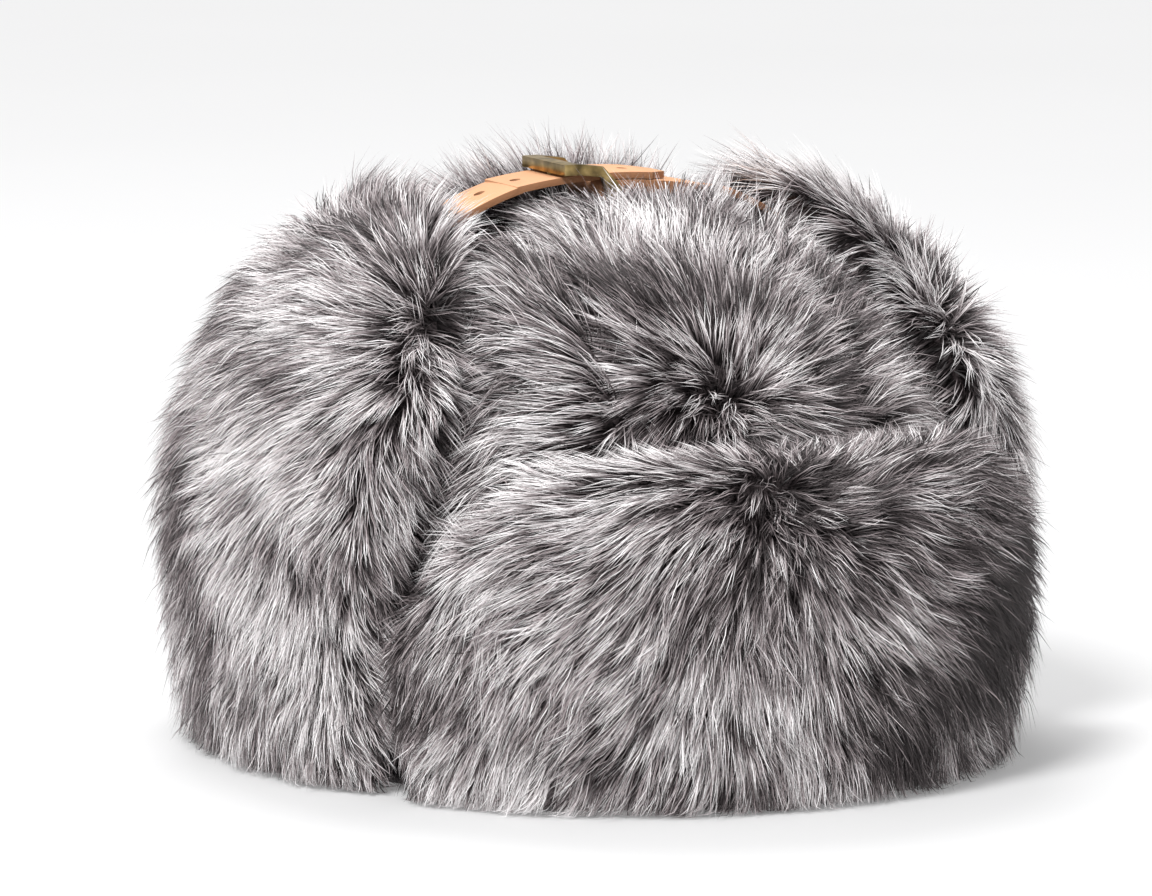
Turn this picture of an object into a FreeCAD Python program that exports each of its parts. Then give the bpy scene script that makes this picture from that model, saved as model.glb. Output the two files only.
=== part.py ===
import FreeCAD, Part
import math
import os

import Sketcher

# A fur trapper hat: a domed crown with a lining, a front visor, a neck flap and two ear flaps.
# All four flaps are folded up, and a leather strap with a brass buckle joins the ear flaps.
# Frame: +Z up, -Y towards the wearer's face, +X towards the wearer's left.
# Origin: the centre of the head opening, in the plane of the rim.
# Every fabric and fur layer follows one family of domes, at an offset from the crown's surface.

SIZES = {
    # the crown's outer fur surface
    "crown_half_width": 108.0,
    "crown_half_length": 130.0,
    "crown_top": 183.0,
    "crown_middle": 80.0,
    "wall_radius": 300.0,
    "crown_panel_half_width": 36.0,
    "seam_gap": 0.3,
    # the crown's layers, as depths below its surface
    "fur_depth": 18.0,
    "padding_depth": 23.0,
    "lining_depth": 24.6,
    "band_depth": 26.0,
    "layer_gap": 0.2,
    "rim_height": 4.0,
    "band_height": 36.0,
    # the flaps' layers, as heights above the crown's surface
    "backing_inside": 1.8,
    "backing_outside": 3.4,
    "flap_padding_outside": 8.0,
    "flap_outside": 30.0,
    "flap_cap_drop": 8.0,
    "flap_wall_radius": 180.0,
    "flap_foot": 1.5,
    # how far the tools that cut and divide the pieces run out past them
    "reach": 260.0,
    "overrun": 2.0,
    # the ear flaps' outline, seen from the side
    "ear_front_foot": -62.0,
    "ear_front": -78.0,
    "ear_bulge": 130.0,
    "ear_front_top": 24.0,
    "ear_back_foot": 62.0,
    "ear_back": 66.0,
    "ear_back_top": 52.0,
    # the ear flaps' tips, seen from above
    "ear_tip": 70.0,
    "ear_tip_front": -39.0,
    "ear_tip_back": 60.0,
    "ear_cheek": 96.0,
    "ear_cheek_front": -81.0,
    "ear_cheek_back": 71.0,
    "ear_corner": 24.0,
    # the visor's and the neck flap's outlines, seen from the side
    "visor_back": -72.0,
    "visor_shoulder": 50.0,
    "visor_crest": -120.0,
    "visor_top": 115.0,
    "neck_front": 73.0,
    "neck_shoulder": 90.0,
    "neck_crest": 110.0,
    "neck_top": 142.0,
    "flap_corner": 25.0,
    # the straps
    "strap_width": 24.0,
    "strap_thickness": 2.2,
    "strap_radius": 185.0,
    "strap_side": 4.0,
    "strap_gap": 0.35,
    "strap_pocket": 3.4,
    "pocket_clearance": 0.4,
    "pocket_headroom": 1.4,
    "tongue_end": 24.0,
    "tongue_point": 8.0,
    "tongue_blunt": 4.8,
    "tongue_turn": 31.0,
    "buckle_strap_turn": 45.5,
    "strap_overlap": 2.0,
    "strap_root": 100.0,
    "fold_start": 2.0,
    "fold_end": 30.0,
    "fold_overlap": 0.1,
    "hole_diameter": 3.6,
    "hole_pitch": 13.0,
    "channel_radius": 176.4,
    "channel_width": 34.0,
    # the buckle
    "bar_side": 1.0,
    "bar_radius": 1.5,
    "bar_play": 0.2,
    "crossbar_side": -15.0,
    "crossbar_length": 5.4,
    "crossbar_bottom": 187.3,
    "crossbar_top": 190.9,
    "frame_inside": 25.4,
    "frame_outside": 30.8,
    "plate_heel": 2.4,
    "plate_neck": 4.6,
    "plate_below_bar": 1.6,
    "plate_above_bar": 1.8,
    "plate_slope": 1.2,
    "stud_radius": 1.2,
    "stud_bottom": 185.3,
    # the rivets
    "rivet_radius": 1.6,
    "rivet_head_radius": 3.4,
    "rivet_head": 0.7,
    "rivet_spacing": 11.0,
    "rivet_side": 90.0,
}

# a dome's wall reaches this many degrees below its widest line, which is well below the rim
WALL_ANGLE = 50
HOLES_EACH_SIDE = 2

doc = FreeCAD.newDocument("TrapperHat")
sheet = doc.addObject("Spreadsheet::Sheet", "Sizes")
for row, (alias, value) in enumerate(SIZES.items(), start=1):
    sheet.set(f"A{row}", alias)
    sheet.set(f"B{row}", str(value))
    sheet.setAlias(f"B{row}", alias)
doc.recompute()

nodes = []


def size(alias):
    """A driving dimension, read from the sheet."""
    return float(sheet.get(alias))


def bind(item, **expressions):
    """Ties properties of an object to expressions over the sheet."""
    for name, expression in expressions.items():
        item.setExpression(name, expression)


def place(item, **coordinates):
    """Ties an object's position to expressions over the sheet."""
    for axis, expression in coordinates.items():
        item.setExpression(f"Placement.Base.{axis}", expression)


def add(kind, name, **expressions):
    item = doc.addObject(kind, name)
    bind(item, **expressions)
    return item


def combine(kind, name, base, tool):
    """A Part boolean of two objects: Cut, Fuse or Common."""
    item = doc.addObject(f"Part::{kind}", name)
    item.Base = base
    item.Tool = tool
    return item


def keep(item, label):
    """Marks an object as one of the hat's pieces."""
    item.Label = label
    nodes.append(item)
    return item


def box(name, x_low, x_high, y_low, y_high, z_low, z_high):
    """An upright block between expressions."""
    item = add("Part::Box", name)
    bind(item, Length=f"({x_high}) - ({x_low})")
    bind(item, Width=f"({y_high}) - ({y_low})")
    bind(item, Height=f"({z_high}) - ({z_low})")
    place(item, x=x_low, y=y_low, z=z_low)
    return item


def dome(name, offset, wall_radius="Sizes.wall_radius", drop="0"):
    """A solid dome at an offset from the crown's surface: a low cap over a tapering wall."""
    halves = []
    heights = {
        "cap": f"Sizes.crown_top - Sizes.crown_middle + ({offset}) - {drop}",
        "wall": f"{wall_radius} + ({offset})",
    }
    for part, height in heights.items():
        half = add("Part::Ellipsoid", f"{name}_{part}", Radius1=height)
        bind(half, Radius2=f"Sizes.crown_half_width + ({offset})")
        bind(half, Radius3=f"Sizes.crown_half_length + ({offset})")
        half.Angle1 = 0 if part == "cap" else -WALL_ANGLE
        half.Angle2 = 90 if part == "cap" else 0
        place(half, z="Sizes.crown_middle")
        halves.append(half)
    return combine("Fuse", name, *halves)


def shell(name, inside, outside, wall_radius="Sizes.wall_radius", drop="0"):
    """The layer between two domes."""
    outer = dome(f"{name}_outer", outside, wall_radius, drop)
    inner = dome(f"{name}_inner", inside)
    return combine("Cut", name, outer, inner)


def origin_plane(body, role):
    return next(f for f in body.Origin.OriginFeatures if f.Role == role)


def sketch_on(body, role, name):
    sketch = body.newObject("Sketcher::SketchObject", name)
    sketch.AttachmentSupport = (origin_plane(body, role), [""])
    sketch.MapMode = "FlatFace"
    return sketch


def draw_polygon(sketch, corners):
    """A closed polygon whose corners are pairs of expressions."""
    doc.recompute()
    points = [[float(sheet.evalExpression(value)) for value in corner] for corner in corners]
    vectors = [FreeCAD.Vector(x, y, 0) for x, y in points]
    count = len(vectors)
    for index in range(count):
        line = Part.LineSegment(vectors[index], vectors[(index + 1) % count])
        sketch.addGeometry(line, False)
    for index in range(count):
        following = (index + 1) % count
        sketch.addConstraint(Sketcher.Constraint("Coincident", index, 2, following, 1))
    for index, corner in enumerate(corners):
        for kind, value, expression in zip(("DistanceX", "DistanceY"), points[index], corner):
            number = sketch.addConstraint(Sketcher.Constraint(kind, -1, 1, index, 1, value))
            sketch.setExpression(f"Constraints[{number}]", expression)


def prism(name, role, corners, length, rounded=None, radius=None):
    """A polygon padded evenly to both sides of its plane, with some of its long edges rounded."""
    body = doc.addObject("PartDesign::Body", name)
    sketch = sketch_on(body, role, f"{name}_sketch")
    draw_polygon(sketch, corners)
    pad = body.newObject("PartDesign::Pad", f"{name}_pad")
    pad.Profile = sketch
    pad.Midplane = True
    bind(pad, Length=length)
    doc.recompute()
    if rounded:
        edges = [
            f"Edge{number}"
            for number, edge in enumerate(pad.Shape.Edges, start=1)
            if all(rounded(vertex.Point) for vertex in edge.Vertexes)
        ]
        fillet = body.newObject("PartDesign::Fillet", f"{name}_fillet")
        fillet.Base = (pad, edges)
        bind(fillet, Radius=radius)
        doc.recompute()
    return body


def near(value, alias):
    return math.isclose(value, size(alias), abs_tol=0.01)


def mirrored(source, name):
    """The same piece on the hat's other side."""
    item = doc.addObject("Part::Mirroring", name)
    item.Source = source
    item.Base = FreeCAD.Vector(0, 0, 0)
    item.Normal = FreeCAD.Vector(1, 0, 0)
    return item


def strap_slab(name, x_low, x_high, margin="0"):
    """The upright slab of space that a strap's length and width take up."""
    half = f"(Sizes.strap_width / 2 + {margin})"
    side = "Sizes.strap_side"
    return box(name, x_low, x_high, f"{side} - {half}", f"{side} + {half}", "0", "Sizes.reach")


def cross_cylinder(name, radius, width, x="0", z="0", y="Sizes.strap_side"):
    """A cylinder that lies across the strap."""
    item = add("Part::Cylinder", name, Radius=radius, Height=width)
    item.Placement.Rotation = FreeCAD.Rotation(FreeCAD.Vector(1, 0, 0), -90)
    place(item, x=x, y=f"{y} - ({width}) / 2", z=z)
    return item


def arc_band(name, radius, thickness, x_low, x_high):
    """A strip of leather that lies along an arc about the middle of the rim."""
    width = "Sizes.strap_width"
    outer = cross_cylinder(f"{name}_outer", f"{radius} + {thickness}", width)
    inner = cross_cylinder(f"{name}_inner", radius, f"{width} + Sizes.overrun")
    ring = combine("Cut", f"{name}_ring", outer, inner)
    return combine("Common", name, ring, strap_slab(f"{name}_slab", x_low, x_high))


def build_crown():
    """Three fur panels over quilted padding and a lining."""
    reach = "Sizes.reach"
    rim = "Sizes.rim_height"
    panel = "Sizes.crown_panel_half_width"
    gap = "Sizes.seam_gap / 2"

    fur = shell("crown_fur", "-Sizes.fur_depth", "0")
    strap_space = cross_cylinder("channel_outer", reach, "Sizes.channel_width")
    channel_floor = cross_cylinder("channel_floor", "Sizes.channel_radius", "Sizes.channel_width")
    channel = combine("Cut", "strap_channel", strap_space, channel_floor)
    pressed_fur = combine("Cut", "pressed_fur", fur, channel)
    spans = {
        "crown_centre_panel": (f"-{panel} + {gap}", f"{panel} - {gap}"),
        "crown_left_panel": (f"{panel} + {gap}", reach),
        "crown_right_panel": (f"-{reach}", f"-{panel} - {gap}"),
    }
    for name, (x_low, x_high) in spans.items():
        space = box(f"{name}_space", x_low, x_high, f"-{reach}", reach, rim, reach)
        keep(combine("Common", f"{name}_solid", pressed_fur, space), name)

    layers = {
        "crown_padding": ("Sizes.padding_depth", "Sizes.fur_depth", reach),
        "crown_lining": ("Sizes.lining_depth", "Sizes.padding_depth", reach),
        "sweatband": ("Sizes.band_depth", "Sizes.lining_depth", "Sizes.band_height"),
    }
    for name, (inside, outside, top) in layers.items():
        layer = shell(f"{name}_layer", f"-{inside}", f"-{outside} - Sizes.layer_gap")
        space = box(f"{name}_space", f"-{reach}", reach, f"-{reach}", reach, rim, top)
        keep(combine("Common", f"{name}_solid", layer, space), name)


def build_rim_binding():
    """The tape bound around the crown's bottom edge, flat underneath."""
    layer = shell("rim_layer", "-Sizes.band_depth", "0")
    reach = "Sizes.reach"
    top = "Sizes.rim_height - Sizes.layer_gap / 2"
    space = box("rim_space", f"-{reach}", reach, f"-{reach}", reach, "0", top)
    keep(combine("Common", "rim_binding_solid", layer, space), "rim_binding")


def flap_layers(name):
    """A flap's three layers before they are cut to its outline, from the crown outwards."""
    gap = "Sizes.layer_gap"
    backing = shell(f"{name}_backing_layer", "Sizes.backing_inside", "Sizes.backing_outside")
    padding = shell(
        f"{name}_padding_layer", f"Sizes.backing_outside + {gap}", "Sizes.flap_padding_outside"
    )
    fur = shell(
        f"{name}_fur_layer",
        f"Sizes.flap_padding_outside + {gap}",
        "Sizes.flap_outside",
        "Sizes.flap_wall_radius",
        "Sizes.flap_cap_drop",
    )
    return {"backing": backing, "padding": padding, "fur": fur}


def build_front_and_neck():
    """The visor and the neck flap: each wraps around one end of the crown."""
    outlines = {
        "visor": ("Sizes.visor_back", "Sizes.visor_shoulder", "Sizes.visor_crest",
                  "Sizes.visor_top", "-Sizes.reach"),
        "neck": ("Sizes.neck_front", "Sizes.neck_shoulder", "Sizes.neck_crest",
                 "Sizes.neck_top", "Sizes.reach"),
    }
    for name, (edge, shoulder, crest, top, end) in outlines.items():
        foot = "Sizes.flap_foot"
        corners = [(edge, foot), (edge, shoulder), (crest, top), (end, top), (end, foot)]
        edge_alias = edge.split(".")[1]
        top_alias = top.split(".")[1]
        shoulder_alias = shoulder.split(".")[1]
        crest_alias = crest.split(".")[1]

        def rounded(point):
            on_shoulder = near(point.y, edge_alias) and near(point.z, shoulder_alias)
            on_crest = near(point.z, top_alias) and near(point.y, crest_alias)
            return on_shoulder or on_crest

        space = prism(f"{name}_space", "YZ_Plane", corners, "Sizes.reach * 2", rounded,
                      "Sizes.flap_corner")
        for layer_name, layer in flap_layers(name).items():
            solid = combine("Common", f"{name}_{layer_name}_solid", layer, space)
            keep(solid, f"{name}_{layer_name}")


def ear_space():
    """The outline of the ear flap on the wearer's left: it narrows towards a rounded tip."""
    reach = "Sizes.reach"
    foot = "Sizes.flap_foot"
    side = prism(
        "ear_side",
        "YZ_Plane",
        [
            ("Sizes.ear_front_foot", foot),
            ("Sizes.ear_front", "Sizes.ear_bulge"),
            ("Sizes.ear_front_top", reach),
            ("Sizes.ear_back_top", reach),
            ("Sizes.ear_back", "Sizes.ear_bulge"),
            ("Sizes.ear_back_foot", foot),
        ],
        "Sizes.reach * 2",
    )
    tip = prism(
        "ear_tip_outline",
        "XY_Plane",
        [
            ("Sizes.ear_tip", "Sizes.ear_tip_front"),
            ("Sizes.ear_cheek", "Sizes.ear_cheek_front"),
            (reach, "Sizes.ear_cheek_front"),
            (reach, "Sizes.ear_cheek_back"),
            ("Sizes.ear_tip", "Sizes.ear_tip_back"),
        ],
        "Sizes.reach * 2",
        lambda point: near(point.x, "ear_tip"),
        "Sizes.ear_corner",
    )
    return combine("Common", "ear_space", side, tip)


def strap_tail(name, turn, clearance="0", headroom="0"):
    """The strap's root: it lies over the flap's backing, in a pocket of the padding."""
    low = f"Sizes.strap_pocket + Sizes.layer_gap - {clearance}"
    high = f"Sizes.strap_pocket + Sizes.layer_gap + Sizes.strap_thickness + {headroom}"
    layer = shell(f"{name}_layer", low, high)
    slab = strap_slab(f"{name}_slab", turn, f"Sizes.strap_root + {clearance}", clearance)
    return combine("Common", name, layer, slab)


def build_ears():
    """Both ear flaps; each strap's root is let into its flap's padding."""
    space = ear_space()
    for name, layer in flap_layers("ear").items():
        solid = combine("Common", f"ear_{name}_common", layer, space)
        if name == "padding":
            pocket = strap_tail("ear_pocket", "Sizes.tongue_turn", "Sizes.pocket_clearance",
                                "Sizes.pocket_headroom")
            solid = combine("Cut", "ear_padding_cut", solid, pocket)
        keep(solid, f"left_ear_{name}")
        keep(mirrored(solid, f"right_ear_{name}_solid"), f"right_ear_{name}")


def build_tongue_strap():
    """The punched strap on the wearer's right; its free end runs through the buckle."""
    tongue = arc_band("tongue_arc", "Sizes.strap_radius", "Sizes.strap_thickness",
                      "-Sizes.tongue_turn - Sizes.strap_overlap", "Sizes.tongue_end")
    tail = mirrored(strap_tail("tongue_tail", "Sizes.tongue_turn"), "tongue_tail_right")
    strip = combine("Fuse", "tongue_strip", tongue, tail)
    low_edge = "Sizes.strap_side - Sizes.strap_width / 2"
    high_edge = "Sizes.strap_side + Sizes.strap_width / 2"
    tip = prism(
        "tongue_outline",
        "XY_Plane",
        [
            ("-Sizes.reach", low_edge),
            ("Sizes.tongue_end - Sizes.tongue_point", low_edge),
            ("Sizes.tongue_end", "Sizes.strap_side - Sizes.tongue_blunt"),
            ("Sizes.tongue_end", "Sizes.strap_side + Sizes.tongue_blunt"),
            ("Sizes.tongue_end - Sizes.tongue_point", high_edge),
            ("-Sizes.reach", high_edge),
        ],
        "Sizes.reach * 2",
    )
    punched = combine("Common", "tongue_tipped", strip, tip)
    for number in range(2 * HOLES_EACH_SIDE + 1):
        step = number - HOLES_EACH_SIDE
        hole = add("Part::Cylinder", f"tongue_hole_{number}", Height="Sizes.reach")
        bind(hole, Radius="Sizes.hole_diameter / 2")
        place(hole, x=f"Sizes.crossbar_side + Sizes.hole_pitch * ({step})", y="Sizes.strap_side")
        punched = combine("Cut", f"tongue_punched_{number}", punched, hole)
    keep(punched, "tongue_strap")


# where the hinge bar's centre lies: inside the loop at the end of the buckle strap
LOOP_RADIUS = "(Sizes.bar_radius + Sizes.bar_play + Sizes.strap_thickness)"
BAR_HEIGHT = f"(Sizes.strap_radius - Sizes.strap_gap - {LOOP_RADIUS})"


def build_buckle_strap():
    """The strap on the wearer's left: it loops around the hinge bar and is sewn to itself."""
    thickness = "Sizes.strap_thickness"
    top_radius = f"Sizes.strap_radius - Sizes.strap_gap - {thickness}"
    upper = arc_band("buckle_upper", top_radius, thickness, "Sizes.bar_side",
                     "Sizes.buckle_strap_turn + Sizes.strap_overlap")
    lower = arc_band("buckle_lower", f"{top_radius} - {thickness}",
                     f"{thickness} + Sizes.fold_overlap", "Sizes.bar_side + Sizes.fold_start",
                     "Sizes.bar_side + Sizes.fold_end")
    tail = strap_tail("buckle_tail", "Sizes.buckle_strap_turn")
    loop = cross_cylinder("buckle_loop", LOOP_RADIUS, "Sizes.strap_width", "Sizes.bar_side",
                          BAR_HEIGHT)
    strip = combine("Fuse", "buckle_strip", upper, lower)
    rooted = combine("Fuse", "buckle_rooted", strip, tail)
    looped = combine("Fuse", "buckle_looped", rooted, loop)
    bore = cross_cylinder("buckle_bore", "Sizes.bar_radius + Sizes.bar_play",
                          "Sizes.strap_width + Sizes.overrun", "Sizes.bar_side", BAR_HEIGHT)
    keep(combine("Cut", "buckle_strap_solid", looped, bore), "buckle_strap")


def build_buckle():
    """The brass frame: two side plates, the hinge bar, the crossbar and its stud."""
    x = "Sizes.crossbar_side"
    half = "Sizes.crossbar_length / 2"
    under_bar = f"{BAR_HEIGHT} - Sizes.plate_below_bar"
    profile = [
        ("Sizes.bar_side + Sizes.plate_heel", under_bar),
        ("Sizes.bar_side + Sizes.plate_heel", f"{BAR_HEIGHT} + Sizes.plate_above_bar"),
        ("Sizes.bar_side - Sizes.plate_neck", "Sizes.crossbar_top - Sizes.plate_slope"),
        (f"{x} + {half}", "Sizes.crossbar_top"),
        (f"{x} - {half}", "Sizes.crossbar_top"),
        (f"{x} - {half}", "Sizes.crossbar_bottom"),
        (f"{x} + {half}", "Sizes.crossbar_bottom"),
        ("Sizes.bar_side - Sizes.plate_neck", "Sizes.crossbar_bottom - Sizes.plate_slope"),
        ("Sizes.bar_side - Sizes.plate_heel", under_bar),
    ]
    plates = prism("side_plates", "XZ_Plane", profile, "Sizes.frame_outside")
    place(plates, y="Sizes.strap_side")
    window = box("frame_window", "-Sizes.reach", "Sizes.reach",
                 "Sizes.strap_side - Sizes.frame_inside / 2",
                 "Sizes.strap_side + Sizes.frame_inside / 2", "0", "Sizes.reach")
    sides = combine("Cut", "frame_sides", plates, window)
    crossbar = box("crossbar", f"{x} - {half}", f"{x} + {half}",
                   "Sizes.strap_side - Sizes.frame_outside / 2",
                   "Sizes.strap_side + Sizes.frame_outside / 2",
                   "Sizes.crossbar_bottom", "Sizes.crossbar_top")
    bar = cross_cylinder("hinge_bar", "Sizes.bar_radius", "Sizes.frame_outside",
                         "Sizes.bar_side", BAR_HEIGHT)
    frame = combine("Fuse", "frame_and_crossbar", sides, crossbar)
    keep(combine("Fuse", "buckle_frame_solid", frame, bar), "buckle_frame")

    stud = add("Part::Cylinder", "stud", Radius="Sizes.stud_radius")
    bind(stud, Height="Sizes.crossbar_bottom - Sizes.stud_bottom")
    place(stud, x=x, y="Sizes.strap_side", z="Sizes.stud_bottom")
    keep(stud, "buckle_stud")


def rivet(across):
    """One rivet through the backing and the strap, square to the flap, with two flat heads."""
    offset = size("backing_inside")
    half_width = size("crown_half_width") + offset
    rise = size("crown_top") - size("crown_middle") + offset
    x = size("rivet_side")
    slope = math.sqrt(1 - (x / half_width) ** 2)
    foot = FreeCAD.Vector(x, size("strap_side") + across, size("crown_middle") + rise * slope)
    normal = FreeCAD.Vector(x / half_width**2, 0, slope / rise)
    normal.normalize()
    length = size("strap_pocket") + size("layer_gap") + size("strap_thickness") - offset
    head = size("rivet_head")
    head_radius = size("rivet_head_radius")
    shaft = Part.makeCylinder(size("rivet_radius"), length, foot, normal)
    low = Part.makeCylinder(head_radius, head, foot - normal * head, normal)
    high = Part.makeCylinder(head_radius, head, foot + normal * length, normal)
    return shaft.fuse([low, high]).removeSplitter()


def build_rivets():
    """Two rivets hold each strap's root to its flap."""
    half = size("rivet_spacing") / 2
    solids = [rivet(-half), rivet(half)]
    left = doc.addObject("Part::Feature", "left_rivets")
    left.Shape = Part.makeCompound(solids)
    keep(left, "left_strap_rivets")
    keep(mirrored(left, "right_rivets"), "right_strap_rivets")


build_crown()
build_rim_binding()
build_front_and_neck()
build_ears()
build_tongue_strap()
build_buckle_strap()
build_buckle()
build_rivets()
doc.recompute()

for item in doc.Objects:
    if "Invalid" in item.State or "Error" in item.State:
        raise RuntimeError(f"{item.Name} failed: {item.State}")
for node in nodes:
    if node.Shape.isNull() or not node.Shape.isValid() or not node.Shape.Solids:
        raise RuntimeError(f"{node.Label} has no valid solid")

os.makedirs("parts", exist_ok=True)
for node in nodes:
    node.Shape.exportStep(os.path.join("parts", f"{node.Label}.step"))
    print(node.Label, len(node.Shape.Solids), round(node.Shape.Volume / 1000, 2), "cm3")
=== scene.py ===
import math

import bpy
import numpy as np
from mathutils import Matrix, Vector


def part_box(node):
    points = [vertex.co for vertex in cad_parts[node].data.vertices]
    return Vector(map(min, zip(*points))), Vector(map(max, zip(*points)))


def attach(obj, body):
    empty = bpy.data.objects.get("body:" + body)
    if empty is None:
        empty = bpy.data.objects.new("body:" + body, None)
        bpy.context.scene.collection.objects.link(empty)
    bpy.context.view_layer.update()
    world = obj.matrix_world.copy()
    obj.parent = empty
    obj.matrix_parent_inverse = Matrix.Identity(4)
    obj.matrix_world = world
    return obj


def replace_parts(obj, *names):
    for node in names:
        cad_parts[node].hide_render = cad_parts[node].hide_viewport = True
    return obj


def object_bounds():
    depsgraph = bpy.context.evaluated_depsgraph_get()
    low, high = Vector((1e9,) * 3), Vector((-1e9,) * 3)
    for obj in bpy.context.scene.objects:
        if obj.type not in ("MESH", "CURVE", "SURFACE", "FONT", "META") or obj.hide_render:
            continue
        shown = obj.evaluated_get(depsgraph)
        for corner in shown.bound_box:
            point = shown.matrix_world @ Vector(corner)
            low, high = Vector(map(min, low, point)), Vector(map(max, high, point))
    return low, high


# A silver-fox trapper hat. The fur is grown as fine tapered blades from soft skins that follow
# the CAD solids; the straps and the buckle are the CAD's own shapes with leather and brass.
# Everything is in metres, in the frame of the CAD: +Z up, -Y front, origin in the rim's plane.

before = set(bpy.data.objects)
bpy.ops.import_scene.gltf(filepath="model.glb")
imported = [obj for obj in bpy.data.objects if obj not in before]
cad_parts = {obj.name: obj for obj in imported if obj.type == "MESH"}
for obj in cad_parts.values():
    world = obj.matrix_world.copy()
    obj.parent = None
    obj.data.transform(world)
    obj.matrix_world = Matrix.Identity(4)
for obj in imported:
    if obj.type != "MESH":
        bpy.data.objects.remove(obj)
cad_low, cad_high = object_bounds()

FRONT = Vector((0.0, -1.0, 0.0))
MM = 0.001

# ---- the crown's dome: the family of surfaces that every layer of the hat follows

crown_low, crown_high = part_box("crown_centre_panel")
lining_low, lining_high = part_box("crown_lining")
right_low, right_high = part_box("crown_right_panel")
DOME_WIDTH = -right_low.x
DOME_LENGTH = crown_high.y
DOME_TOP = crown_high.z
DOME_MIDDLE = 0.080
WALL = 0.300


def height(points):
    """How far each point lies outside the crown's surface, in metres."""
    x, y, z = points[..., 0], points[..., 1], points[..., 2] - DOME_MIDDLE
    rise = np.where(z > 0, DOME_TOP - DOME_MIDDLE, WALL)
    offset = np.zeros_like(x)
    for _ in range(5):
        width, length, cap = DOME_WIDTH + offset, DOME_LENGTH + offset, rise + offset
        value = (x / width) ** 2 + (y / length) ** 2 + (z / cap) ** 2 - 1
        slope = -2 * (x**2 / width**3 + y**2 / length**3 + z**2 / cap**3)
        offset = np.clip(offset - value / slope, -0.07, 0.2)
    return offset


def outward(points):
    """The direction away from the crown at each point."""
    offset = height(points)
    z = points[..., 2] - DOME_MIDDLE
    rise = np.where(z > 0, DOME_TOP - DOME_MIDDLE, WALL)
    normal = np.stack(
        [
            points[..., 0] / (DOME_WIDTH + offset) ** 2,
            points[..., 1] / (DOME_LENGTH + offset) ** 2,
            z / (rise + offset) ** 2,
        ],
        axis=-1,
    )
    return unit(normal)


def dome_point(angle, level, offset):
    """Points of a layer at angles around the head, a height above the rim and an offset."""
    above = level - DOME_MIDDLE
    rise = np.where(above > 0, DOME_TOP - DOME_MIDDLE, WALL) + offset
    reach = np.sqrt(np.clip(1 - (above / rise) ** 2, 0, 1))
    x = (DOME_WIDTH + offset) * reach * np.cos(angle)
    y = (DOME_LENGTH + offset) * reach * np.sin(angle)
    return np.stack(np.broadcast_arrays(x, y, level), axis=-1)


def unit(vectors):
    size = np.linalg.norm(vectors, axis=-1, keepdims=True)
    return vectors / np.maximum(size, 1e-9)


def smooth(value, low, high):
    t = np.clip((value - low) / (high - low), 0, 1)
    return t * t * (3 - 2 * t)


def ripple(points, scale, seed):
    """Smooth noise in about -1..1 made of a few plane waves."""
    random = np.random.default_rng(seed)
    total = np.zeros(points.shape[:-1])
    for _ in range(6):
        wave = unit(random.normal(size=3)) / scale * random.uniform(0.7, 1.5)
        total += np.sin(points @ wave * 2 * math.pi + random.uniform(0, 2 * math.pi))
    return total / 3.0


# ---- small helpers


def link(name, mesh):
    piece = bpy.data.objects.new(name, mesh)
    bpy.context.scene.collection.objects.link(piece)
    return piece


def coords(mesh):
    data = np.empty(len(mesh.vertices) * 3, np.float32)
    mesh.vertices.foreach_get("co", data)
    return data.reshape(-1, 3).astype(float)


def set_coords(mesh, points):
    mesh.vertices.foreach_set("co", np.asarray(points, np.float32).ravel())
    mesh.update()


def normals(mesh):
    data = np.empty(len(mesh.vertices) * 3, np.float32)
    mesh.vertices.foreach_get("normal", data)
    return data.reshape(-1, 3).astype(float)


def settle(piece):
    """Applies every modifier of a piece."""
    bpy.context.view_layer.update()
    graph = bpy.context.evaluated_depsgraph_get()
    mesh = bpy.data.meshes.new_from_object(piece.evaluated_get(graph))
    piece.modifiers.clear()
    piece.data = mesh
    return piece


def soft_copy(name, node, voxel, rounds):
    """A remeshed and smoothed copy of a CAD solid."""
    piece = link(name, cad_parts[node].data.copy())
    piece.data.materials.clear()
    remesh = piece.modifiers.new("remesh", "REMESH")
    remesh.mode = "VOXEL"
    remesh.voxel_size = voxel
    smoothing = piece.modifiers.new("smooth", "SMOOTH")
    smoothing.factor = 0.5
    smoothing.iterations = rounds
    settle(piece)
    for polygon in piece.data.polygons:
        polygon.use_smooth = True
    return piece


# ---- materials


def new_material(name):
    material = bpy.data.materials.new(name)
    material.use_nodes = True
    nodes = material.node_tree.nodes
    links = material.node_tree.links
    return material, nodes, links, nodes["Principled BSDF"]


def ramp(nodes, stops):
    node = nodes.new("ShaderNodeValToRGB")
    elements = node.color_ramp.elements
    while len(elements) > 1:
        elements.remove(elements[-1])
    elements[0].position = stops[0][0]
    elements[0].color = (*stops[0][1], 1)
    for position, colour in stops[1:]:
        element = elements.new(position)
        element.color = (*colour, 1)
    return node


def grey(level, warmth=0.0):
    """A linear grey, turned a little towards mauve-brown by warmth."""
    return (level * (1 + warmth), level * (1 - 0.3 * warmth), level * (1 - 0.15 * warmth))


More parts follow.
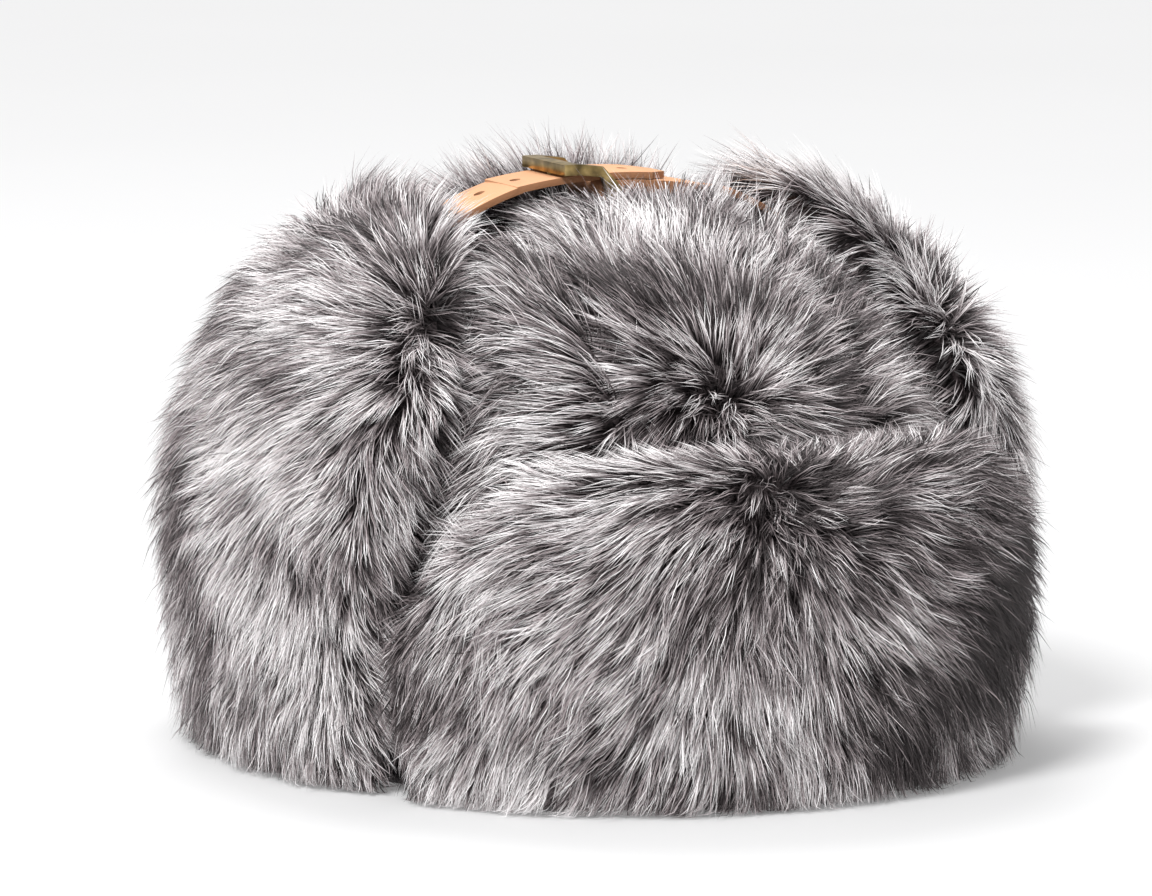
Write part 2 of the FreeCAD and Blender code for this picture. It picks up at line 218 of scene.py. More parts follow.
def fur_material():
    """A hair's colour from its place in the palette: u is the hair's tone, v runs to its tip."""
    material, nodes, links, shader = new_material("silver_fur")
    uv = nodes.new("ShaderNodeUVMap")
    uv.uv_map = "OFBake"
    split = nodes.new("ShaderNodeSeparateXYZ")
    links.new(uv.outputs["UV"], split.inputs[0])
    dark = ramp(nodes, [(0.0, grey(0.005, 0.3)), (0.45, grey(0.012, 0.25)), (0.8, grey(0.035, 0.2)),
                        (1.0, grey(0.012, 0.2))])
    middle = ramp(nodes, [(0.0, grey(0.006, 0.3)), (0.35, grey(0.03, 0.22)), (0.55, grey(0.15, 0.16)),
                          (0.74, grey(0.42, 0.12)), (0.92, grey(0.38, 0.12)), (1.0, grey(0.08, 0.2))])
    light = ramp(nodes, [(0.0, grey(0.01, 0.3)), (0.30, grey(0.06, 0.2)), (0.48, grey(0.36, 0.1)),
                         (0.66, grey(0.90, 0.03)), (0.9, grey(0.97, 0.01)), (1.0, grey(0.94, 0.02))])
    for node in (dark, middle, light):
        links.new(split.outputs["Y"], node.inputs["Fac"])
    low_mix = nodes.new("ShaderNodeMapRange")
    low_mix.inputs["From Min"].default_value = 0.0
    low_mix.inputs["From Max"].default_value = 0.5
    high_mix = nodes.new("ShaderNodeMapRange")
    high_mix.inputs["From Min"].default_value = 0.5
    high_mix.inputs["From Max"].default_value = 1.0
    first = nodes.new("ShaderNodeMixRGB")
    second = nodes.new("ShaderNodeMixRGB")
    links.new(split.outputs["X"], low_mix.inputs["Value"])
    links.new(split.outputs["X"], high_mix.inputs["Value"])
    links.new(low_mix.outputs[0], first.inputs["Fac"])
    links.new(dark.outputs[0], first.inputs["Color1"])
    links.new(middle.outputs[0], first.inputs["Color2"])
    links.new(high_mix.outputs[0], second.inputs["Fac"])
    links.new(first.outputs[0], second.inputs["Color1"])
    links.new(light.outputs[0], second.inputs["Color2"])
    links.new(second.outputs[0], shader.inputs["Base Color"])
    shader.inputs["Roughness"].default_value = 0.48
    shader.inputs["Specular IOR Level"].default_value = 0.35
    return material


def noisy_material(name, colours, scale, roughness, bump=0.0, bump_scale=None, sheen=0.0):
    """Cloth, hide or wadding: a mottled colour with a fine raised grain."""
    material, nodes, links, shader = new_material(name)
    place = nodes.new("ShaderNodeTexCoord")
    noise = nodes.new("ShaderNodeTexNoise")
    noise.inputs["Scale"].default_value = scale
    noise.inputs["Detail"].default_value = 6
    links.new(place.outputs["Object"], noise.inputs["Vector"])
    tint = ramp(nodes, [(0.3, colours[0]), (0.7, colours[1])])
    links.new(noise.outputs["Fac"], tint.inputs["Fac"])
    links.new(tint.outputs[0], shader.inputs["Base Color"])
    shader.inputs["Roughness"].default_value = roughness
    shader.inputs["Sheen Weight"].default_value = sheen
    if bump:
        grain = nodes.new("ShaderNodeTexNoise")
        grain.inputs["Scale"].default_value = bump_scale
        grain.inputs["Detail"].default_value = 8
        links.new(place.outputs["Object"], grain.inputs["Vector"])
        relief = nodes.new("ShaderNodeBump")
        relief.inputs["Strength"].default_value = bump
        relief.inputs["Distance"].default_value = 0.001
        links.new(grain.outputs["Fac"], relief.inputs["Height"])
        links.new(relief.outputs[0], shader.inputs["Normal"])
    return material


def lit_by_normal(nodes, links, axis):
    """How far a surface faces along an axis, 0..1 with 0.5 for sideways."""
    geometry = nodes.new("ShaderNodeNewGeometry")
    split = nodes.new("ShaderNodeSeparateXYZ")
    links.new(geometry.outputs["Normal"], split.inputs[0])
    return split.outputs[axis]


def leather_material(name, top, under, edge, roughness, grain_size):
    """Vegetable-tanned leather: mottled face, darker burnished edges and a rough flesh side. Faces that point
    down take the darker under colour: the flesh side's tone with painted shade under the strap.
    """
    material, nodes, links, shader = new_material(name)
    place = nodes.new("ShaderNodeTexCoord")
    mottle = nodes.new("ShaderNodeTexNoise")
    mottle.inputs["Scale"].default_value = 45
    mottle.inputs["Detail"].default_value = 8
    links.new(place.outputs["Object"], mottle.inputs["Vector"])
    face = ramp(nodes, [(0.3, tuple(0.86 * part for part in top)), (0.7, top)])
    links.new(mottle.outputs["Fac"], face.inputs["Fac"])
    # Painted shade: faces that point down get the darker under colour.
    upward = nodes.new("ShaderNodeMapRange")
    upward.inputs["From Min"].default_value = -0.3
    upward.inputs["From Max"].default_value = 0.3
    links.new(lit_by_normal(nodes, links, "Z"), upward.inputs["Value"])
    sides = nodes.new("ShaderNodeMath")
    sides.operation = "ABSOLUTE"
    links.new(lit_by_normal(nodes, links, "Y"), sides.inputs[0])
    sideways = nodes.new("ShaderNodeMapRange")
    sideways.inputs["From Min"].default_value = 0.35
    sideways.inputs["From Max"].default_value = 0.8
    links.new(sides.outputs[0], sideways.inputs["Value"])
    face_over_shaded_underside = nodes.new("ShaderNodeMixRGB")
    face_over_shaded_underside.inputs["Color1"].default_value = (*under, 1)
    links.new(upward.outputs[0], face_over_shaded_underside.inputs["Fac"])
    links.new(face.outputs[0], face_over_shaded_underside.inputs["Color2"])
    edged = nodes.new("ShaderNodeMixRGB")
    edged.inputs["Color2"].default_value = (*edge, 1)
    links.new(sideways.outputs[0], edged.inputs["Fac"])
    links.new(face_over_shaded_underside.outputs[0], edged.inputs["Color1"])
    links.new(edged.outputs[0], shader.inputs["Base Color"])
    shader.inputs["Roughness"].default_value = roughness
    grain = nodes.new("ShaderNodeTexVoronoi")
    grain.inputs["Scale"].default_value = grain_size
    links.new(place.outputs["Object"], grain.inputs["Vector"])
    relief = nodes.new("ShaderNodeBump")
    relief.inputs["Strength"].default_value = 0.25
    relief.inputs["Distance"].default_value = 0.0004
    links.new(grain.outputs["Distance"], relief.inputs["Height"])
    links.new(relief.outputs[0], shader.inputs["Normal"])
    return material


def brass_material():
    """Aged brass: brushed, with darker tarnish in patches."""
    material, nodes, links, shader = new_material("aged_brass")
    place = nodes.new("ShaderNodeTexCoord")
    tarnish = nodes.new("ShaderNodeTexNoise")
    tarnish.inputs["Scale"].default_value = 190
    tarnish.inputs["Detail"].default_value = 8
    links.new(place.outputs["Object"], tarnish.inputs["Vector"])
    colour = ramp(nodes, [(0.32, (0.13, 0.095, 0.045)), (0.56, (0.40, 0.29, 0.12)), (0.8, (0.70, 0.52, 0.24))])
    links.new(tarnish.outputs["Fac"], colour.inputs["Fac"])
    links.new(colour.outputs[0], shader.inputs["Base Color"])
    rough = nodes.new("ShaderNodeMapRange")
    rough.inputs["To Min"].default_value = 0.45
    rough.inputs["To Max"].default_value = 0.22
    links.new(tarnish.outputs["Fac"], rough.inputs["Value"])
    links.new(rough.outputs[0], shader.inputs["Roughness"])
    shader.inputs["Metallic"].default_value = 1.0
    brushing = nodes.new("ShaderNodeMapping")
    brushing.inputs["Scale"].default_value = (3000, 120, 3000)
    links.new(place.outputs["Object"], brushing.inputs["Vector"])
    lines = nodes.new("ShaderNodeTexNoise")
    lines.inputs["Scale"].default_value = 1.0
    links.new(brushing.outputs[0], lines.inputs["Vector"])
    relief = nodes.new("ShaderNodeBump")
    relief.inputs["Strength"].default_value = 0.12
    relief.inputs["Distance"].default_value = 0.0002
    links.new(lines.outputs["Fac"], relief.inputs["Height"])
    links.new(relief.outputs[0], shader.inputs["Normal"])
    return material


def woven_material(name, dark, light, across, along, roughness, sheen, layer="weave"):
    """Cloth with a visible weave along the piece's own layer of lengths, in metres."""
    material, nodes, links, shader = new_material(name)
    uv = nodes.new("ShaderNodeUVMap")
    uv.uv_map = layer
    waves = []
    for direction, pitch in (("X", across), ("Y", along)):
        wave = nodes.new("ShaderNodeTexWave")
        wave.bands_direction = direction
        wave.wave_profile = "SIN"
        wave.inputs["Scale"].default_value = 0.31416 / pitch
        wave.inputs["Distortion"].default_value = 0.6
        wave.inputs["Detail"].default_value = 1
        links.new(uv.outputs["UV"], wave.inputs["Vector"])
        waves.append(wave)
    both = nodes.new("ShaderNodeMath")
    both.operation = "MULTIPLY"
    links.new(waves[0].outputs["Fac"], both.inputs[0])
    links.new(waves[1].outputs["Fac"], both.inputs[1])
    tint = ramp(nodes, [(0.0, dark), (1.0, light)])
    links.new(both.outputs[0], tint.inputs["Fac"])
    links.new(tint.outputs[0], shader.inputs["Base Color"])
    relief = nodes.new("ShaderNodeBump")
    relief.inputs["Strength"].default_value = 0.5
    relief.inputs["Distance"].default_value = 0.0005
    links.new(both.outputs[0], relief.inputs["Height"])
    links.new(relief.outputs[0], shader.inputs["Normal"])
    shader.inputs["Roughness"].default_value = roughness
    shader.inputs["Sheen Weight"].default_value = sheen
    return material


FUR = fur_material()
HIDE = noisy_material("under_hide", (grey(0.012, 0.3), grey(0.05, 0.25)), 260, 0.95, 0.8, 900)
# Painted shade: the wadding is drawn nearly black, so that where it shows at a flap's front edge it reads as a
# shadowed gap; the real wadding is off-white.
WADDING_PAINTED_SHADE = noisy_material("wadding", (grey(0.045, 0.08), grey(0.080, 0.08)), 90, 0.95, 0.8, 700, 0.3)
CLOTH = noisy_material("brushed_cloth", (grey(0.020, 0.15), grey(0.045, 0.12)), 500, 0.85, 0.7,
                       1800, 0.25)
SATIN = noisy_material("quilted_satin", (grey(0.022, 0.05), grey(0.034, 0.05)), 120, 0.36, 0.15,
                       2600, 0.15)
TAPE = woven_material("ribbed_tape", grey(0.012, 0.1), grey(0.045, 0.1), 0.0012, 0.0030, 0.8, 0.2)
THREAD = noisy_material("thread", (grey(0.05, 0.1), grey(0.11, 0.1)), 2500, 0.7, 0.6, 4000)
STRAP = leather_material("strap_leather", (0.72, 0.37, 0.19), (0.24, 0.12, 0.065),
                         (0.34, 0.155, 0.07), 0.68, 1500)
BAND = leather_material("band_leather", (0.085, 0.056, 0.042), (0.06, 0.045, 0.036),
                        (0.05, 0.034, 0.026), 0.5, 1300)
BRASS = brass_material()


# ---- fur


# how far along a strand its rows of points lie, and how wide each row is before the tip
ROWS = np.array([0.0, 0.36, 0.70, 1.0])
TAPER = np.array([0.8, 1.0, 0.62])
SIDES = len(TAPER)


def sample_surface(piece, count, random, wanted):
    """Points spread evenly over the wanted part of a mesh, with the smooth normal at each."""
    mesh = piece.data
    mesh.calc_loop_triangles()
    points, around = coords(mesh), normals(mesh)
    corners = np.empty(len(mesh.loop_triangles) * 3, np.int32)
    mesh.loop_triangles.foreach_get("vertices", corners)
    corners = corners.reshape(-1, 3)
    a, b, c = (points[corners[:, k]] for k in range(3))
    centre = (a + b + c) / 3
    facing = unit(np.cross(b - a, c - a))
    corners = corners[wanted(centre, facing)]
    a, b, c = (points[corners[:, k]] for k in range(3))
    area = np.linalg.norm(np.cross(b - a, c - a), axis=1)
    pick = random.choice(len(corners), size=count, p=area / area.sum())
    u, v = random.random((2, count, 1))
    flip = u + v > 1
    u, v = np.where(flip, 1 - u, u), np.where(flip, 1 - v, v)
    chosen = corners[pick]
    place = a[pick] + (b[pick] - a[pick]) * u + (c[pick] - a[pick]) * v
    turn = around[chosen[:, 0]] * (1 - u - v) + around[chosen[:, 1]] * u + around[chosen[:, 2]] * v
    return place, unit(turn)


def tangent(vectors, normal):
    """The part of each vector that lies along the surface."""
    return vectors - normal * np.sum(vectors * normal, axis=-1, keepdims=True)


def build_strands(name, spine, facing, width, tone, material):
    """Makes one mesh of tapered blades. spine is strands x rows x 3."""
    count = len(spine)
    along = unit(np.gradient(spine, axis=1))
    across = unit(np.cross(along, facing[:, None, :]))
    half = (width[:, None] * TAPER)[..., None] * across[:, :SIDES]
    left, right = spine[:, :SIDES] - half, spine[:, :SIDES] + half
    points = np.concatenate([left, right, spine[:, SIDES:]], axis=1).reshape(-1, 3)
    quads = np.array([[r, SIDES + r, SIDES + r + 1, r + 1] for r in range(SIDES - 1)])
    tip = np.array([SIDES - 1, 2 * SIDES - 1, 2 * SIDES])
    pattern = np.concatenate([quads.ravel(), tip])
    loops = (np.arange(count)[:, None] * (2 * SIDES + 1) + pattern).ravel()
    mesh = bpy.data.meshes.new(name)
    mesh.vertices.add(len(points))
    mesh.vertices.foreach_set("co", points.astype(np.float32).ravel())
    mesh.loops.add(len(loops))
    mesh.loops.foreach_set("vertex_index", loops.astype(np.int32))
    starts = (np.arange(count)[:, None] * len(pattern) + 4 * np.arange(SIDES)).ravel()
    mesh.polygons.add(len(starts))
    mesh.polygons.foreach_set("loop_start", starts.astype(np.int32))
    mesh.polygons.foreach_set("use_smooth", np.ones(len(starts), bool))
    mesh.update(calc_edges=True)
    spread = 0.006
    corner_u = np.where(pattern < SIDES, -spread, spread)
    corner_u[pattern == 2 * SIDES] = 0
    corner_v = ROWS[np.where(pattern < SIDES, pattern, pattern - SIDES)]
    u = np.clip(tone, 0.01, 0.99)[:, None] + corner_u
    uv = np.stack([u, np.broadcast_to(corner_v, u.shape) * 0.98 + 0.01], axis=-1)
    layer = mesh.uv_layers.new(name="OFBake")
    layer.data.foreach_set("uv", uv.astype(np.float32).ravel())
    mesh.materials.append(material)
    return link(name, mesh)


def grow(name, skin, body, clumps, per_clump, look, flow, wanted, limit, seed):
    """Grows locks of hair over a skin. look holds lengths, lifts, width and tone functions."""
    random = np.random.default_rng(seed)
    base, normal = sample_surface(skin, clumps, random, wanted)
    up_here = outward(base)
    edge = 1 - np.clip(np.sum(normal * up_here, axis=1, keepdims=True), 0, 1)
    comb = flow(base) - up_here * edge * 2.0
    comb = unit(tangent(comb, normal) + random.normal(size=base.shape) * look["stray"])
    comb = unit(tangent(comb, normal))
    side = np.cross(normal, comb)

    def spread(array):
        return np.repeat(array, per_clump, axis=0)

    total = clumps * per_clump
    radius = look["lock"] * np.sqrt(random.random((total, 1)))
    angle = random.uniform(0, 2 * math.pi, (total, 1))
    root = spread(base) + radius * (np.cos(angle) * spread(comb) + np.sin(angle) * spread(side))
    own = unit(spread(comb) + random.normal(size=root.shape) * look["frizz"])
    lock_length = look["length"] * random.uniform(0.8, 1.15, (clumps, 1)) * look["scale"](base)[:, None]
    long_hair = spread(lock_length) * random.uniform(0.65, 1.12, (total, 1))
    rest_lift = look["lift"](base)[:, None] * (1 - edge) + 24 * edge
    lift = np.radians(rest_lift + random.normal(size=(clumps, 1)) * 6)
    hair_lift = spread(lift) + np.radians(random.normal(size=(total, 1)) * 7)
    up = spread(normal)
    rise = np.minimum(hair_lift + math.radians(32), math.radians(88))
    first = root + long_hair * 0.42 * (up * np.sin(rise) + own * np.cos(rise))
    last = root + long_hair * (up * np.sin(hair_lift) + own * np.cos(hair_lift))
    lock_tip = base + lock_length * (normal * np.sin(lift) + comb * np.cos(lift))
    gather = look["gather"] * random.uniform(0.5, 1.0, (total, 1))
    last = last * (1 - gather) + spread(lock_tip) * gather
    t = ROWS[None, :, None]
    spine = (1 - t) ** 2 * root[:, None] + 2 * t * (1 - t) * first[:, None] + t**2 * last[:, None]
    wave = random.uniform(0, 2 * math.pi, (total, 1, 1))
    bend = np.sin(t * 5 + wave) * t * look["wave"]
    spine = spine + bend * spread(side)[:, None]
    spine = limit(spine)
    twist = random.normal(size=(total, 1)) * 0.5
    facing = unit(up + twist * spread(side) + 0.3 * random.normal(size=up.shape))
    width = look["width"] * random.uniform(0.6, 1.3, total)
    tone = look["tone"](base, random)
    own_tone = spread(tone[:, None])[:, 0] + random.normal(size=total) * look["tone_spread"]
    hair = build_strands(name, spine, facing, width, np.clip(own_tone, 0, 1), FUR)
    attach(hair, body)
    return hair


# ---- where the flaps lie, as outlines seen from the side


def ear_front(p):
    """Where an ear flap's front edge lies, at each point's height."""
    z = p[..., 2]
    return np.where(z < 0.130, -0.062 - 0.123 * z, -0.078 + 0.78 * (z - 0.130))


def ear_cover(p):
    """How far inside an ear flap's outline a point lies, in metres; negative outside it."""
    z = p[..., 2]
    back = np.where(z < 0.130, 0.062 + 0.03 * z, 0.066 - 0.108 * (z - 0.130))
    inside = np.minimum(p[..., 1] - ear_front(p), back - p[..., 1])
    return np.minimum(inside, np.abs(p[..., 0]) - 0.070)


def visor_cover(p):
    z = p[..., 2]
    edge = np.where(z < 0.050, -0.072, -0.072 - 0.74 * (z - 0.050))
    return np.minimum(edge - p[..., 1], 0.115 - z)


def neck_cover(p):
    z = p[..., 2]
    edge = np.where(z < 0.090, 0.073, 0.073 + 0.71 * (z - 0.090))
    return np.minimum(p[..., 1] - edge, 0.142 - z)


STRAP_LOW, STRAP_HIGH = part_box("tongue_strap")
STRAP_SIDE = (STRAP_LOW.y + STRAP_HIGH.y) / 2
STRAP_HALF = (STRAP_HIGH.y - STRAP_LOW.y) / 2
FRAME_LOW, FRAME_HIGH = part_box("buckle_frame")
CHANNEL = 0.1762
FLOOR = 0.0008
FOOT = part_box("visor_fur")[0].z
ROOM = 0.008


def press(points, ceiling):
    """Presses hair down to a ceiling above the crown's surface."""
    excess = np.maximum(height(points) - ceiling, 0)
    return points - outward(points) * excess[..., None]


def inside_box(points):
    """Keeps hair above the floor and inside the room that the CAD's box leaves."""
    low = np.array(cad_low) - ROOM - 0.03 * np.array(cad_high - cad_low)
    high = np.array(cad_high) + ROOM + 0.03 * np.array(cad_high - cad_low)
    low[2] = FLOOR
    return np.clip(points, low, high)


def crown_limit(points):
    """Crown hair is pressed flat under the flaps, the strap and the buckle."""
    cover = np.maximum(np.maximum(ear_cover(points), visor_cover(points)), neck_cover(points))
    ceiling = 0.030 * (1 - smooth(cover, -0.004, 0.004)) + 0.0008
    across = np.abs(points[..., 1] - STRAP_SIDE)
    at_buckle = smooth(points[..., 0], FRAME_LOW.x - 0.006, FRAME_LOW.x - 0.002)
    at_buckle = at_buckle * (1 - smooth(points[..., 0], 0.034, 0.040))
    half = STRAP_HALF + 0.001 + 0.004 * at_buckle
    under = 1 - smooth(across, half, half + 0.005)
    radius = np.hypot(points[..., 0], points[..., 2])
    gap = (CHANNEL - radius) * at_buckle + 0.001 * (1 - at_buckle)
    strap_ceiling = np.where(at_buckle > 0.5, height(points) + gap, 0.0012)
    ceiling = np.where(under > 0, np.minimum(ceiling, strap_ceiling * under + 0.03 * (1 - under)), ceiling)
    return inside_box(press(points, ceiling))


def flap_limit(points):
    """Flap hair stays off the crown and above the floor."""
    deep = np.maximum(0.0005 - height(points), 0)
    return inside_box(points + outward(points) * deep[..., None])


# ---- soft layers: the hides and the wadding are swelled by a short cloth simulation, then settled


def shrink_outside(piece, depth, start, end):
    """Draws a solid's outer side in, to make room for the hair that grows from it."""
    points = coords(piece.data)
    share = smooth(height(points), start, end)[:, None]
    set_coords(piece.data, points - outward(points) * depth * share)


def draw_in(piece, cover, amount, reach=0.020):
    """Draws a flap's layer in from its outline, most at its edges, and keeps its height."""
    points = coords(piece.data)
    level = height(points)
    step = 0.001
    slope = np.zeros_like(points)
    for axis in range(3):
        shift = np.zeros(3)
        shift[axis] = step
        slope[:, axis] = (cover(points + shift) - cover(points - shift)) / (2 * step)
    share = 1 - smooth(cover(points), 0.0, reach)
    points = points + unit(slope) * (amount * share)[:, None]
    lost = level - height(points)
    set_coords(piece.data, points + outward(points) * lost[:, None])


def with_foot(cover):
    """The same outline, closed along the flap's foot too."""
    return lambda p: np.minimum(cover(p), p[..., 2] - FOOT)


def flatten(piece, inside, outside, low, high):
    """Squeezes the heights between inside and outside into the layer between low and high."""
    points = coords(piece.data)
    level = height(points)
    wanted = low + (high - low) * np.clip((level - inside) / (outside - inside), 0, 1)
    set_coords(piece.data, points + outward(points) * (wanted - level)[:, None])


def puff(piece, pressure, cap, pinned=None, frames=20):
    """Swells a soft piece with a short cloth simulation, moving no point further than cap."""
    rest = coords(piece.data)
    cloth = piece.modifiers.new("cloth", "CLOTH")
    cloth.settings.use_pressure = True
    cloth.settings.uniform_pressure_force = pressure
    cloth.settings.effector_weights.gravity = 0
    cloth.settings.quality = 4
    if pinned is not None:
        seams = piece.vertex_groups.new(name="seams")
        seams.add([int(index) for index in np.flatnonzero(pinned)], 1.0, "REPLACE")
        cloth.settings.vertex_group_mass = "seams"
    cloth.point_cache.frame_start = 1
    cloth.point_cache.frame_end = frames
    for number in range(1, frames + 1):
        bpy.context.scene.frame_set(number)
    settle(piece)
    moved = coords(piece.data) - rest
    size = np.linalg.norm(moved, axis=1, keepdims=True)
    set_coords(piece.data, rest + moved * np.minimum(1, cap / np.maximum(size, 1e-9)))
    bpy.context.scene.frame_set(1)


def finish_layer(piece, material, body, node):
    """Gives a soft layer its cloth and puts it in the place of its CAD solid."""
    piece.data.materials.clear()
    piece.data.materials.append(material)
    for polygon in piece.data.polygons:
        polygon.use_smooth = True
    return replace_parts(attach(piece, body), node)


def crown_skin(name, node):
    piece = soft_copy(name, node, 0.005, 6)
    shrink_outside(piece, 0.009, -0.015, -0.003)
    puff(piece, 3.0, 0.003)
    return finish_layer(piece, HIDE, "crown", node)


def flap_skins(name, body, cover):
    """A flap's three layers: the hide that carries its fur, the wadding and the cloth backing."""
    hide = soft_copy(f"{name}_hide", f"{name}_fur", 0.005, 6)
    backing = link(f"{name}_lined_backing", hide.data.copy())
    shrink_outside(hide, 0.010, 0.010, 0.024)
    draw_in(hide, cover, 0.003)
    puff(hide, 3.0, 0.003)
    finish_layer(hide, HIDE, body, f"{name}_fur")

    wadding = soft_copy(f"{name}_wadding", f"{name}_padding", 0.0022, 3)
    draw_in(wadding, with_foot(cover), 0.018, 0.050)
    puff(wadding, 2.0, 0.0004)
    finish_layer(wadding, WADDING_PAINTED_SHADE, body, f"{name}_padding")

    flatten(backing, 0.009, 0.018, 0.0020, 0.0033)
    draw_in(backing, cover, 0.007, 0.024)
    finish_layer(backing, CLOTH, body, f"{name}_backing")
    hem_stitches(f"{name}_hem_stitches", backing, cover, body)
    return hide


# ---- stitching


def stitch_mesh(name, starts, ends, facing, radius):
    """One mesh of small sunk stitches, each a six-sided bead from a start to an end."""
    along = unit(ends - starts)
    side = unit(np.cross(facing, along))
    up = np.cross(along, side)
    stations = [(0.0, 0.35), (0.18, 0.85), (0.5, 1.0), (0.82, 0.85), (1.0, 0.35)]
    around = np.arange(6) * math.pi / 3
    rows = []
    for share, thickness in stations:
        sink = radius * (1 - thickness) * 1.2
        centre = starts + (ends - starts) * share - up * sink
        ring = [
            centre + radius * thickness * (math.cos(a) * side + math.sin(a) * up) for a in around
        ]
        rows.append(np.stack(ring, axis=1))
    points = np.stack(rows, axis=1)
    faces = []
    for row in range(len(stations) - 1):
        for turn in range(6):
            following = (turn + 1) % 6
            faces.append((6 * row + turn, 6 * row + following, 6 * row + 6 + following, 6 * row + 6 + turn))
    faces = np.array(faces)
    shifted = (np.arange(len(starts))[:, None, None] * 30 + faces).reshape(-1, 4)
    mesh = bpy.data.meshes.new(name)
    mesh.from_pydata(points.reshape(-1, 3).tolist(), [], shifted.tolist())
    mesh.polygons.foreach_set("use_smooth", np.ones(len(mesh.polygons), bool))
    mesh.materials.append(THREAD)
    return link(name, mesh)


def stitch_line(name, path, facing, pitch, length, radius, body):
    """Stitches at even spacing along a path of points."""
    steps = np.linalg.norm(np.diff(path, axis=0), axis=1)
    travel = np.concatenate([[0], np.cumsum(steps)])
    count = int(travel[-1] / pitch)
    at = (np.arange(count) + 0.5) * travel[-1] / count

    def sample(where, values):
        return np.stack([np.interp(where, travel, values[:, k]) for k in range(3)], axis=1)

    starts, ends = sample(at - length / 2, path), sample(at + length / 2, path)
    piece = stitch_mesh(name, starts, ends, unit(sample(at, facing)), radius)
    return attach(piece, body)


HEM = 0.016


def hem_stitches(name, backing, cover, body):
    """A line of stitches inside a flap's edge, on the face that shows when it is folded down."""
    mesh = backing.data
    points = coords(mesh)
    inner = height(points) < 0.0026
    depth = cover(points)
    ends = np.empty(len(mesh.edges) * 2, np.int32)
    mesh.edges.foreach_get("vertices", ends)
    ends = ends.reshape(-1, 2)
    a, b = depth[ends[:, 0]] - HEM, depth[ends[:, 1]] - HEM
    crossing = (a * b < 0) & inner[ends[:, 0]] & inner[ends[:, 1]]
    share = (a[crossing] / (a[crossing] - b[crossing]))[:, None]
    spots = points[ends[crossing, 0]] * (1 - share) + points[ends[crossing, 1]] * share
    centre = spots.mean(axis=0)
    up = outward(centre[None])[0]
    side = unit(np.cross(np.array([0, 0, 1.0]), up))
    rise = np.cross(up, side)
    angle = np.arctan2((spots - centre) @ rise, (spots - centre) @ side)
    gap = -math.pi / 2
    order = np.argsort(np.mod(angle - gap, 2 * math.pi))
    path = spots[order]
    kernel = np.ones(9) / 9
    path = np.stack([np.convolve(path[:, k], kernel, "valid") for k in range(3)], axis=1)
    facing = -outward(path)
    path = path + facing * 0.0002
    breaks = np.flatnonzero(np.linalg.norm(np.diff(path, axis=0), axis=1) > 0.02)
    if len(breaks):
        path, facing = path[breaks[-1] + 1:], facing[breaks[-1] + 1:]
    stitch_line(name, path, facing, 0.0042, 0.0030, 0.00035, body)


# ---- how the hair lies

DOWN = np.array([0.0, 0.0, -1.0])


def radiate(centre, fall, extra=None, swirl=0.5):
    """Hair that turns out of a whorl, and runs more and more down away from it."""
    centre = np.array(centre)

    def flow(p):
        away = p - centre
        distance = np.linalg.norm(away, axis=-1, keepdims=True)
        weight = fall * smooth(distance, 0.03, 0.16)
        turn = np.cross(outward(p), unit(away)) * swirl * np.exp(-distance / 0.03)
        wander = np.stack([ripple(p, 0.035, 70 + axis) for axis in range(3)], axis=-1)
        tousle = np.stack([ripple(p, 0.009, 80 + axis) for axis in range(3)], axis=-1)
        tousle = tousle * np.exp(-((distance / 0.02) ** 2))
        lie = (unit(away) + turn) * (1 - weight) + DOWN * weight + 0.35 * wander + tousle
        return lie if extra is None else lie + extra(p)

    return flow


def whorl_lift(centre, near, far, reach=0.04):
    """Hair stands up at a whorl and lies down away from it."""
    centre = np.array(centre)

    def lift(p):
        distance = np.linalg.norm(p - centre, axis=-1)
        return near + (far - near) * smooth(distance, 0.0, reach)

    return lift


def whorl_scale(centre, near, reach=0.045):
    """Hair is shorter at a whorl."""
    centre = np.array(centre)

    def scale(p):
        return near + (1 - near) * smooth(np.linalg.norm(p - centre, axis=-1), 0.0, reach)

    return scale


def even(value):
    return lambda p: np.full(p.shape[:-1], float(value))


def patches(spots, level, seed, strength=0.30, extra=None):
    """Tone of the locks: streaky noise with some lighter and darker places."""

    def tone(p, random):
        value = level + strength * ripple(p, 0.05, seed) + 0.5 * strength * ripple(p, 0.017, seed + 1)
        for centre, reach, amount in spots:
            distance = np.linalg.norm(p - np.array(centre), axis=-1)
            value = value + amount * np.exp(-((distance / reach) ** 2))
        if extra is not None:
            value = value + extra(p)
        value = 0.5 + 1.4 * (value - 0.5)
        return value + random.normal(size=len(p)) * 0.33

    return tone


def on_top(low, away):
    """Picks the part of a skin that carries hair: outside a height, and not facing the crown."""

    def wanted(centre, facing):
        return (height(centre) > low) & (np.sum(facing * outward(centre), axis=1) > away)

    return wanted


def coat(name, skin, body, counts, look, under, flow, wanted, limit, seed):
    """A long guard coat over a shorter, darker underfur."""
    guard, below = (max(1, int(n)) for n in counts)
    grow(f"{name}_guard_hair", skin, body, guard, 5, look, flow, wanted, limit, seed)
    grow(f"{name}_underfur", skin, body, below, 5, {**look, **under}, flow, wanted, limit, seed + 50)


LONG = {
    "length": 0.0235, "scale": even(1.0), "lock": 0.0018, "stray": 0.13, "frizz": 0.10,
    "gather": 0.6, "wave": 0.0009, "width": 0.00018, "tone_spread": 0.19,
    "lift": even(22), "tone": patches([], 0.55, 1),
}
SHORT = {
    "length": 0.016, "lock": 0.0026, "gather": 0.3, "frizz": 0.22, "width": 0.00024,
    "tone": patches([], 0.08, 5, 0.2), "stray": 0.2,
}

VISOR_WHORL = (-0.012, -0.150, 0.103)
CROWN_WHORL = (-0.011, -0.112, 0.134)
NECK_WHORL = (0.0, 0.150, 0.130)
EAR_WHORL = (0.082, -0.092, 0.166)
TOP_TUFT = (-0.025, 0.045, 0.175)

CROWN_PANELS = {"crown_centre_panel": 1.0, "crown_left_panel": 0.9, "crown_right_panel": 0.9}
COUNTS = (7900, 5200)


